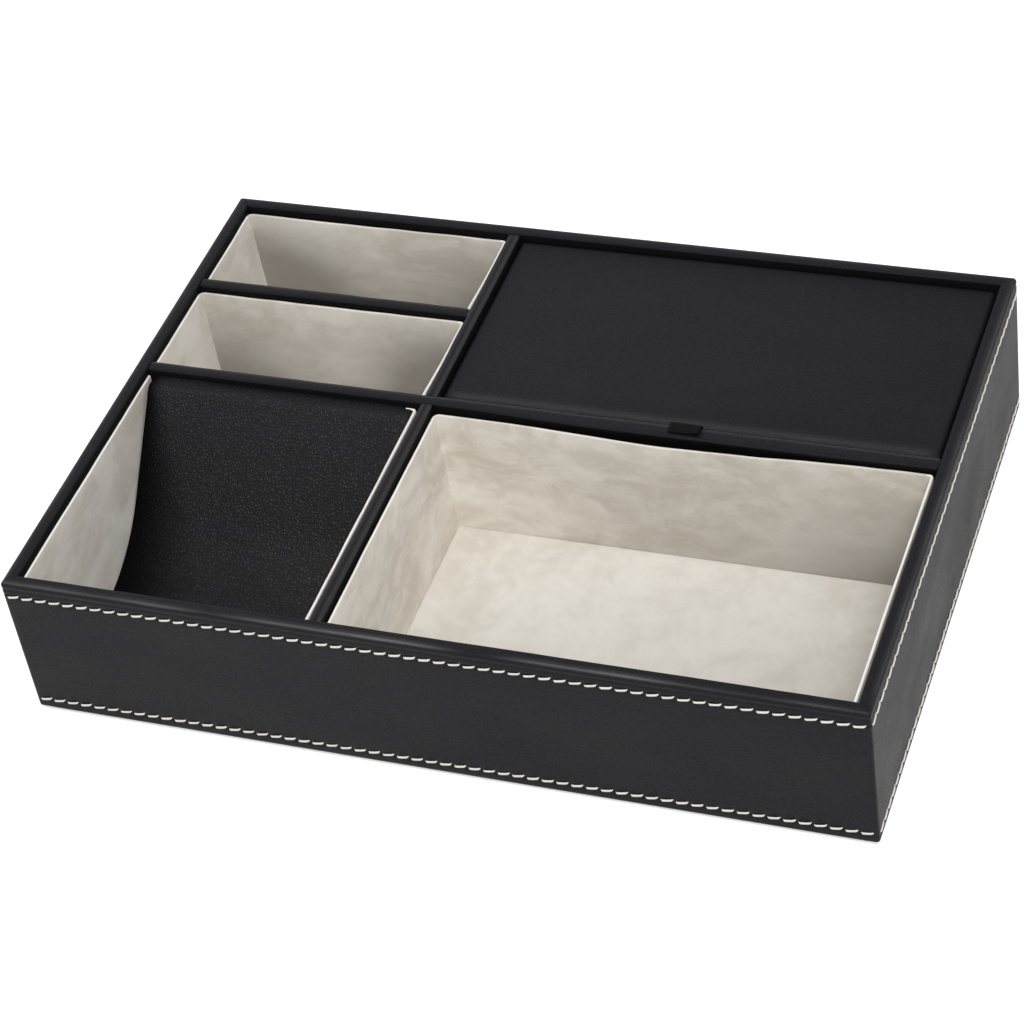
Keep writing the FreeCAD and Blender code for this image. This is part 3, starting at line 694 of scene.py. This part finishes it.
def make_outer_cover():
    """The leather round the walls: rounded corners, a folded upper edge and a pull at each stitch."""
    bottom = BODY_FOOT
    heights = [(inset, bottom + rise) for inset, rise in ((4.0, 0.02), (1.2, 0.0), (0.45, 0.05), (0.14, 0.25),
                                                          (0.02, 0.6))]
    span = [bottom + 1.1 + 0.55 * k for k in range(8)]
    span += [bottom + 6.5 + (SEAM - bottom - 10.5) * k / 13 for k in range(14)]
    span += [SEAM - 3.5 + 0.42 * k for k in range(7)]
    heights += [(0.0, z) for z in span]
    heights += [(0.0, SEAM - 0.55), (0.05, SEAM - 0.22), (0.18, SEAM - 0.04), (0.45, SEAM), (LEATHER, SEAM - 0.1)]
    heights += [(LEATHER, SEAM - 8.0), (LEATHER, bottom + LEATHER), (4.0, bottom + LEATHER)]
    columns = []
    for side in SIDES:
        length = side_length(side)
        columns += [(side, CORNER_ROUND, 18.0 * step) for step in range(5)]
        run = length - 2 * CORNER_ROUND
        count = STITCHES[side] * 7
        columns += [(side, CORNER_ROUND + run * k / count, 90.0) for k in range(count)]
    rings = []
    for side, s, turn in columns:
        ring = []
        for inset, z in heights:
            radius = max(CORNER_ROUND - inset, 0.0)
            if turn < 90.0:
                angle, deep = radians(turn), max(inset - CORNER_ROUND, 0.0)
                along = CORNER_ROUND - radius * cos(angle) + deep
                out = -CORNER_ROUND + radius * sin(angle) - deep
            else:
                low = max(inset, CORNER_ROUND)
                along, out = min(max(s, low), side_length(side) - low), -inset
            if inset < 0.5:
                x, y, _ = wall_spot(side, along, out, z)
                from_corner = min(along, side_length(side) - along)
                fade = ramp(z, bottom, bottom + 1.5) * ramp(SEAM - z, -0.4, 0.6) * ramp(from_corner, 0.9, 3.2)
                out -= sewn_dip(side, along, z) * fade
                out += 0.22 * wave(x, y, z, 34.0, 5.0) * fade + 0.05 * wave(x, y, z, 9.0, 2.0) * fade
            ring.append(wall_spot(side, along, out, z))
        rings.append(ring)
    piece = new_piece("outer_cover", *closed_loft(rings), smooth_leather)
    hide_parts("outer_leather")


def make_stitches():
    """Two rows of long slanted stitches round the walls, each a short thread that dives in at its ends."""
    draw = random.Random(11)
    turns = [2 * pi * j / 8 for j in range(8)]
    for row, level in STITCH_ROWS:
        points, faces, uvs = [], [], []
        for side in SIDES:
            for start, stop in stitch_spots(side):
                lift = draw.uniform(-0.07, 0.07)
                slant = draw.uniform(0.40, 0.54)
                thick = draw.uniform(0.46, 0.53)
                sections = []
                for k in range(11):
                    t = k / 10
                    along = start + (stop - start) * t
                    bow = 4 * t * (1 - t)
                    z = level + lift + slant * (2 * t - 1) - 0.14 * bow + 0.07
                    out = -0.55 + 0.71 * min(1.0, 2.2 * bow) ** 0.7
                    across = thick * (0.38 + 0.62 * min(1.0, 2.2 * bow) ** 0.8)
                    sections.append([wall_spot(side, along, out + 0.62 * across * cos(turn),
                                               z + across * sin(turn)) for turn in turns])
                more, skin = loft(sections)
                faces += [tuple(len(points) + i for i in face) for face in skin]
                points += more
                uvs += [(6.0 * k / 10, j / 8 * 2.0) for k in range(11) for j in range(8)]
        new_piece(f"stitches_{row}", points, faces, cream_thread, uvs=uvs, sharp=80.0)


# ---- suede linings

def make_lining(name, corner_points, thickness, low, high, nodes_replaced, closed=True, leans=None, seed=0.0,
                tight=(), highlit_walls=(1, 3), wall_shade=None):
    """Suede wrapped over card, one strip that turns the inner corners of a pocket.

    corner_points go anticlockwise along the outer face. leans holds, for a wall's number, how far its
    upper edge leans into the pocket at its start, middle and end. tight names the walls that end in a
    small corner, and highlit_walls those whose upper edge gets the paler suede, a painted highlight.
    wall_shade gives, for a wall, a share along it and a share of its height, how much painted shade
    darkens the suede there.
    """
    walls = len(corner_points) if closed else len(corner_points) - 1
    count = len(corner_points)
    lean_of = [(leans or {}).get(wall, (0.0, 0.0, 0.0)) for wall in range(walls)]
    # each wall's way into the pocket, and its columns: (wall, share along it, corner turn 0..1 or None)
    inward, columns = [], []
    for wall in range(walls):
        ahead = Vector(corner_points[(wall + 1) % count]) - Vector(corner_points[wall])
        runs = max(2, round(ahead.length / 3.5))
        columns += [(wall, k / runs, None) for k in range(runs + 1)]
        if closed or wall < walls - 1:
            columns += [(wall, 1.0, k / 5) for k in range(1, 5)]
        ahead.normalize()
        inward.append(Vector((-ahead.y, ahead.x)))
    roll = 0.5
    thin = 1.05

    def card(z):
        """The wall's thickness at a height; it tapers towards its upper edge."""
        return thin + (thickness - thin) * min(1.0, max(0.0, (high - roll - z) / (high - low) * 1.4))

    profile = [(0.0, low), (0.0, low + 8.0), (0.0, high - 12.0), (0.0, high - roll)]
    profile += arc(roll, high - roll, roll, 150, 90, 2) + arc(thin - roll, high - roll, roll, 90, 15, 3)
    top_edge = range(3, len(profile) - 1)
    rows = max(6, round((high - low) / 3.5))
    levels = [high - roll - (high - roll - low) * k / rows for k in range(rows + 1)]
    profile += [(card(z), z) for z in levels]

    def moved_corner(index, lift):
        """A corner after the walls on both sides of it have leaned in."""
        spot = Vector(corner_points[index % count])
        before, after = (index - 1) % walls, index % walls
        if closed or index > 0:
            spot = spot + inward[before] * lean_of[before][2] * lift
        if closed or index < walls:
            spot = spot + inward[after] * lean_of[after][0] * lift
        return spot

    rings, shade_share = [], []
    for wall, share, turn in columns:
        ring = []
        for inset, z in profile:
            rise = (z - low) / (high - low)
            # painted shade: how much darker the suede is painted at this point
            shade_share.append(wall_shade(wall, share, rise) if wall_shade else 0.0)
            lift = rise ** 1.4
            a, b = moved_corner(wall, lift), moved_corner(wall + 1, lift)
            length = (b - a).length
            radius = 0.4 + (0.1 if wall in tight else 1.1) * ramp(rise, 0.78, 1.0)
            margin = card(z) + radius
            first = margin if closed or wall > 0 else 0.0
            final = margin if closed or wall < walls - 1 else 0.0
            if turn is None:
                place = (first + (length - first - final) * share) / length
                start, middle, stop = lean_of[wall]
                bow = (middle - (start + stop) / 2) * sin(pi * share) ** 2.8 if 0 < share < 1 else 0.0
                spot = a + (b - a) * place + inward[wall] * (inset + bow * lift)
                normal = inward[wall]
            else:
                following = (wall + 1) % walls
                centre = b + (inward[wall] + inward[following]) * margin
                angle = pi / 2 * turn
                outwards = -(inward[wall] * cos(angle) + inward[following] * sin(angle))
                spot = centre + outwards * (radius + card(z) - inset)
                normal = -outwards
            if inset > 0.0:
                soft = 0.42 * wave(spot.x, spot.y, z, 24.0, seed) + 0.20 * wave(spot.x, spot.y, z, 8.0, seed + 1.3)
                spot = spot + normal * soft * ramp(rise, 0.0, 0.12) * (1.0 - 0.6 * ramp(rise, 0.9, 1.0))
                if z > high - 1.0:
                    z += 0.22 * wave(spot.x, spot.y, 0.0, 14.0, seed + 4.0)
            ring.append((spot.x, spot.y, z))
        rings.append(ring)
    points, faces = closed_loft(rings) if closed else loft(rings)
    wide = len(profile)
    # painted highlight: the upper edges of the chosen walls get the paler suede
    highlit_faces = [index for index, face in enumerate(faces) if len(face) == 4 and face[0] % wide in top_edge
            and face[1] % wide in top_edge and columns[face[0] // wide][0] in highlit_walls]
    piece = new_piece(name, points, faces, pale_suede, slot="suede", sharp=75.0)
    piece.data.materials.append(lit_suede_edge)
    for index in highlit_faces:
        piece.data.polygons[index].material_index = 1
    point_values(piece, "brush_and_shade", shade_share)
    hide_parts(*nodes_replaced)
    return piece


# A floor pad: how far its suede runs on under the walls, its soft edge and the places along it.
PAD_OVER = 0.25
PAD_ROUND = 1.2
PAD_EDGES = (0.0, 0.12, 0.35, 0.7, 1.2, 2.0)


def rounding(edge, radius):
    """How far a rounded edge has fallen at a distance in from it."""
    return radius * (1 - sqrt(max(0.0, 1 - (1 - min(edge, radius) / radius) ** 2)))


def make_floor_pad(name, node, seed):
    """Suede over a card that lies in a pocket, with a soft edge all round."""
    low, high = corners(node)
    xs, ys = ([low[axis] - PAD_OVER + s for s in stations(high[axis] - low[axis] + 2 * PAD_OVER, PAD_EDGES, 5.0)]
              for axis in (0, 1))
    points = []
    for y in ys:
        for x in xs:
            edge = min(x - xs[0], xs[-1] - x, y - ys[0], ys[-1] - y)
            drop = rounding(edge, PAD_ROUND)
            soft = 0.30 * wave(x, y, 0.0, 26.0, seed) + 0.10 * wave(x, y, 0.0, 8.0, seed + 2.0)
            points.append((x, y, high.z - drop + soft * ramp(edge, 0.5, 5.0)))
    faces = grid_faces(len(xs), len(ys))
    rim = grid_border(len(xs), len(ys))
    base = len(points)
    points += [(points[i][0], points[i][1], low.z) for i in rim]
    foot = range(base, base + len(rim))
    faces += skirt(rim, foot) + [tuple(foot)[::-1]]
    piece = new_piece(name, points, faces, floor_suede, slot="suede", sharp=60.0)
    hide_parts(node)


# How far the walls of each pocket lean in: front 0, right 1, back 2, left 3, going anticlockwise.
POCKETS = {"rear_pocket": {1: (1.7, 1.1, 1.0), 2: (0.8, 0.95, 0.7)},
           "middle_pocket": {1: (1.9, 1.1, 1.0), 2: (0.2, 0.4, 0.3)},
           "large_pocket": {1: (1.5, 1.6, 1.4), 2: (1.0, 4.1, 1.7), 3: (0.6, 0.6, 0.9)},
           "lidded_pocket": {}}

# How much painted shade darkens each back wall: at its left end, middle and right end.
BACK_WALL_SHADE = {"rear_pocket": (1.95, 0.65, 1.4), "middle_pocket": (1.2, 0.45, 2.15),
        "large_pocket": (0.0, 0.42, 0.9), "lidded_pocket": (0.3, 0.3, 0.3)}


def back_wall_shade(pocket):
    """The painted shade on a square pocket's back wall; it is darker towards the foot."""
    left, middle, right = BACK_WALL_SHADE[pocket]

    def wall_shade(wall, share, rise):
        if wall != 2:
            return 0.0
        across = 1.0 - share
        shade_here = left + (middle - left) * ramp(across, 0.0, 0.5) + (right - middle) * ramp(across, 0.5, 1.0)
        return min(1.5, shade_here * (1.9 - 1.7 * rise))

    return wall_shade


def make_linings():
    """Each square pocket's four walls in one strip, and its floor."""
    for seed, (pocket, leans) in enumerate(POCKETS.items()):
        low, high = corners(f"{pocket}_left_liner")
        right = corners(f"{pocket}_right_liner")[1].x
        around = [(low.x, low.y), (right, low.y), (right, high.y), (low.x, high.y)]
        make_lining(f"{pocket}_lining", around, high.x - low.x, SHELF, high.z,
                    [f"{pocket}_{side}_liner" for side in ("left", "right", "front", "back")],
                    leans=leans, seed=20.0 + 7.0 * seed, tight=(1,), wall_shade=back_wall_shade(pocket))
        make_floor_pad(f"{pocket}_floor_pad", f"{pocket}_floor", 31.0 + seed)


# ---- cradle

CRADLE_SLOPE = radians(48.0)
CRADLE_RADIUS = 60.0
CRADLE_PAD = 2.5
CRADLE_BOARD = 2.5
CRADLE_BROW = 3.2
CRADLE_HIDE = 0.8
CRADLE_SIDE_ROUND = 0.9


def cradle_path():
    """The cradle's surface from the front up and back: (y, z, up)."""
    low, high = corners("cradle_leather")
    stack = CRADLE_PAD + CRADLE_BOARD
    floor = SHELF + CRADLE_PAD + CRADLE_BOARD
    centre_z = floor + CRADLE_RADIUS
    sine, cosine = sin(CRADLE_SLOPE), cos(CRADLE_SLOPE)
    climb = LINER_TOP - CRADLE_HIDE - centre_z + (CRADLE_RADIUS + stack) * cosine
    bend_y = high.y - climb * cosine / sine - (CRADLE_RADIUS + stack) * sine

    def bend(y, z, radius, angle):
        """A place on a curve round y and z; a hollow one has its radius below 0."""
        up = Vector((-sin(angle), cos(angle)))
        return y - radius * sin(angle), z + radius * cos(angle), up

    level = Vector((0.0, 1.0))
    path = [(low.y + s, floor, level) for s in (0.0, 1.2, 3.5, 8.0, 15.0, 23.0)]
    path += [(bend_y - 6.0, floor, level)]
    path += [bend(bend_y, centre_z, -CRADLE_RADIUS, CRADLE_SLOPE * k / 28) for k in range(29)]
    turn_y, turn_z, up = path[-1]
    slope = Vector((cosine, sine))
    run = (LINER_TOP - turn_z) / sine
    tangent = CRADLE_BROW * tan(CRADLE_SLOPE / 2)
    for k in range(1, 20):
        far = (run - tangent) * k / 19
        path.append((turn_y + slope.x * far, turn_z + slope.y * far, up))
    brow_y = turn_y + slope.x * run - slope.x * tangent + CRADLE_BROW * sine
    path += [bend(brow_y, LINER_TOP - CRADLE_BROW, CRADLE_BROW, CRADLE_SLOPE * (1 - k / 7)) for k in range(1, 8)]
    return path + [(high.y - 0.1, LINER_TOP, level)]


def cradle_wrinkle(x, y):
    """Soft folds that run across the cradle where it bends, strongest near its foot."""
    where = exp(-((y + 55.0) / 9.0) ** 2) + 0.30 * exp(-((y + 36.0) / 10.0) ** 2)
    drift = 3.2 * wave(x, 0.0, 0.0, 46.0, 2.0) + 1.0 * wave(x, 0.0, 0.0, 15.0, 8.0)
    ridge = sin((y + drift) * 2 * pi / 4.6) * (0.55 + 0.9 * wave(x, y, 0.0, 26.0, 3.0))
    loose = 0.75 * wave(x * 0.35, y, 0.0, 4.2, 6.0)
    return where * (0.36 * ridge + 0.60 * loose)


def make_cradle_cover():
    """The cradle's leather over its foam, rolled over its sides and its brow."""
    low, high = corners("cradle_leather")
    path = cradle_path()
    xs = [low.x + s for s in stations(high.x - low.x, (0.0, 0.06, 0.22, 0.5, 0.9, 1.5, 2.6), 2.6)]
    points, under = [], []
    for y, z, up in path:
        under_y, under_z = y - up.x * CRADLE_PAD, z - up.y * CRADLE_PAD
        if z > LINER_TOP - 2.8:
            under_y, under_z = y, min(z, LINER_TOP) - CRADLE_HIDE
        under += [(x, min(under_y, path[-1][0]), under_z) for x in xs]
        for x in xs:
            edge = min(x - xs[0], xs[-1] - x)
            drop = rounding(edge, CRADLE_SIDE_ROUND)
            give = 0.30 * wave(x, y, z, 30.0, 12.0) + cradle_wrinkle(x, y)
            give *= ramp(edge, 0.4, 6.0) * ramp(y - path[0][0], 0.5, 6.0) * ramp(path[-1][0] - y, 0.5, 5.0)
            points.append((x, y + up.x * (give - drop), z + up.y * (give - drop)))
    faces, rim = grid_faces(len(xs), len(path)), grid_border(len(xs), len(path))
    base = len(points)
    faces += [tuple(base + i for i in face[::-1]) for face in faces] + skirt(rim, [base + i for i in rim])
    piece = new_piece("cradle_cover", points + under, faces, grained_leather, slot="grained_leather", sharp=70.0)
    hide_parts("cradle_leather", "cradle_foam")


def make_cradle_lining():
    """The suede round the cradle's pocket: one strip that turns into the back at both ends."""
    low, high = corners("cradle_left_liner")
    hook = 5.2
    back = high.y - 0.4
    card = high.x - low.x
    right = corners("cradle_right_liner")[0].x + card
    strip = [(low.x, back), (low.x, low.y), (right, low.y), (right, back), (right - hook, back)]
    # painted shade on the cradle's left wall, more towards its top and its back end
    make_lining("cradle_lining", strip, card, SHELF, LINER_TOP,
                ["cradle_left_liner", "cradle_right_liner", "cradle_front_liner"], closed=False,
                leans={2: (1.0, 1.0, 1.0), 3: (0.0, 0.0, 0.0)}, seed=71.0, tight=(2,), highlit_walls=(0, 2, 3),
                wall_shade=lambda wall, share, rise: (0.14 + 0.22 * ramp(rise, 0.4, 1.0) * (1.0 - share)
                                                if wall == 0 else 0.0))


# ---- lid

LID_SHOULDER = 2.6
LID_FRONT_MORE = 1.1
LID_CORNER = 2.5
LID_CROWN = 0.6
LID_HEM = 12.0


def rounded_spot(x, y, half_x, half_y, edge):
    """Moves a point of a square grid on to rings with rounded corners; edge is its ring's inset."""
    radius = LID_CORNER - edge
    if radius <= 0.0:
        return x, y
    from_side, from_end = half_x - edge - abs(x), half_y - edge - abs(y)
    near_side, near_end = from_side < 1e-6, from_end < 1e-6
    if not (near_side or near_end):
        return x, y
    reach = from_end if near_side else from_side
    if reach >= radius:
        return x, y
    angle = pi / 4 * (1 - reach / radius)
    long, short = radius * cos(angle), radius * sin(angle)
    centre_x, centre_y = half_x - edge - radius, half_y - edge - radius
    move_x, move_y = (long, short) if near_side else (short, long)
    return copysign(centre_x + move_x, x), copysign(centre_y + move_y, y)


def make_lid_cover():
    """The lid's leather over its foam, wrapped round the board and hemmed underneath."""
    low, high = corners("lid_leather")
    board_low, board_high = corners("lid_board")
    middle = (low + high) / 2
    half_x, half_y = (high.x - low.x) / 2, (high.y - low.y) / 2
    edges = (0.0, 0.08, 0.25, 0.5, 0.85, 1.3, 1.9, 2.6, 3.6, 5.0, 7.0)
    xs = [s - half_x for s in stations(2 * half_x, edges, 3.0)]
    ys = [s - half_y for s in stations(2 * half_y, edges, 3.0)]
    roof = high.z - LID_CROWN
    points, polish_and_highlight = [], []
    for y in ys:
        for x in xs:
            edge = min(half_x - abs(x), half_y - abs(y))
            px, py = rounded_spot(x, y, half_x, half_y, edge)
            at_front = y < 0 and half_y - abs(y) <= edge + 1e-6
            fall = rounding(edge, LID_SHOULDER + (LID_FRONT_MORE if at_front else 0.0))
            crown = LID_CROWN * (1 - (x / half_x) ** 2) * (1 - (y / half_y) ** 2)
            soft = 0.30 * wave(x, y, 0.0, 38.0, 15.0) + 0.12 * wave(x * 0.5, y, 0.0, 11.0, 16.0)
            trough = -0.22 * exp(-((y + half_y - 6.5) / 2.6) ** 2) * ramp(half_x - abs(x), 2.0, 9.0)
            give = (soft + trough) * ramp(edge, 0.8, 7.0)
            points.append((middle.x + px, middle.y + py, roof + crown - fall + give))
            # painted highlight, partly real polish: the lid's front roll reflects more in a band about 2.6 mm in
            # from its front edge
            polish_and_highlight.append(0.30 * exp(-((y + half_y - 2.6) / 1.3) ** 2) * ramp(half_x - abs(x), 1.0, 6.0))
    faces = grid_faces(len(xs), len(ys))
    rim = grid_border(len(xs), len(ys))
    skin = board_low.x - low.x
    floor = low.z
    steps = [(0.0, floor + 3.0), (0.0, floor + 0.5), (0.12, floor + 0.15), (0.5, floor), (LID_HEM, floor),
             (LID_HEM, floor + skin), (skin, floor + skin), (skin, board_high.z)]

    def drawn_in(value, half, inset):
        """A distance from the lid's middle, less the inset where it is near the edge."""
        if abs(value) <= half - LID_HEM - 3:
            return value
        return copysign(max(abs(value) - inset, 0.0), value)

    previous = rim
    for inset, z in steps:
        base = len(points)
        for i in rim:
            points.append((middle.x + drawn_in(points[i][0] - middle.x, half_x, inset),
                           middle.y + drawn_in(points[i][1] - middle.y, half_y, inset), z))
        ring = range(base, base + len(rim))
        faces += skirt(previous, ring)
        previous = ring
    faces.append(tuple(previous)[::-1])
    piece = new_piece("lid_cover", points, faces, lid_hide, body="lid", sharp=60.0)
    point_values(piece, "polish_and_highlight", polish_and_highlight + [0.0] * (len(points) - len(polish_and_highlight)))
    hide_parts("lid_leather", "lid_foam")


def make_pull_tab():
    """A short ribbon that rises through the front gap and lies forward over the divider."""
    low, high = corners("lid_pull_tab")
    lid_front = corners("lid_leather")[0].y
    divider_top = corners("cross_divider_leather")[1].z
    board = corners("lid_board")[0].z
    thick = 0.7
    rise_y = lid_front - 0.65
    crest = high.z - thick / 2
    foot = ((3.0, thick / 2), (0.9, 0.42), (0.15, 1.1), (0.0, 2.4))
    bend = ((0.0, -2.6), (-0.1, -1.2), (-0.6, -0.3), (-1.5, 0.0), (-2.8, -0.08), (-4.2, -0.34))
    line = [(high.y, board + thick / 2)] + [(rise_y + y, board + z) for y, z in foot]
    line += [(rise_y + y, crest + z) for y, z in bend] + [(low.y + 0.3, divider_top + 0.55)]
    width = high.x - low.x
    across = (0, 0.2, 0.5, 0.8, 1)
    sections = []
    for index, (y, z) in enumerate(line):
        before, after = line[max(index - 1, 0)], line[min(index + 1, len(line) - 1)]
        ahead = Vector((after[0] - before[0], after[1] - before[1])).normalized()
        up = Vector((-ahead.y, ahead.x)) * (thick / 2)
        free = ramp(index, 7, len(line) - 1)
        ring = []
        for side, lift in [(side, -1) for side in across] + [(side, 1) for side in across[::-1]]:
            x = low.x + width * side + {0: 0.12, 1: -0.12}.get(side, 0.0)
            curl = free * (1.1 * ramp(side, 0.62, 1.0) - 0.10 * sin(pi * side))
            ring.append((x, y + up.x * lift, z + up.y * lift + curl))
        sections.append(ring)
    piece = new_piece("pull_ribbon", *loft(sections), black_ribbon, body="lid", slot="ribbon", sharp=60.0)
    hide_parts("lid_pull_tab")


make_camera()
make_stage()
make_rim()
make_caps()
make_outer_cover()
make_stitches()
make_linings()
make_cradle_cover()
make_cradle_lining()
make_lid_cover()
make_pull_tab()

finish_of = {"leather": smooth_leather, "grained_leather": grained_leather, "suede": pale_suede,
             "board": grey_board, "foam": felt("white_foam", (0.6, 0.6, 0.58, 1.0)), "ribbon": black_ribbon,
             "felt": black_felt}
for entry in frame["record"]["subparts"]:
    piece = nodes[entry["node"]]
    piece.data.materials.clear()
    piece.data.materials.append(finish_of[entry["material_slot"]])
# painted shade: the base, under the body's edge, gets the darker, matt leather
nodes["base_board"].data.materials[0] = shade_leather
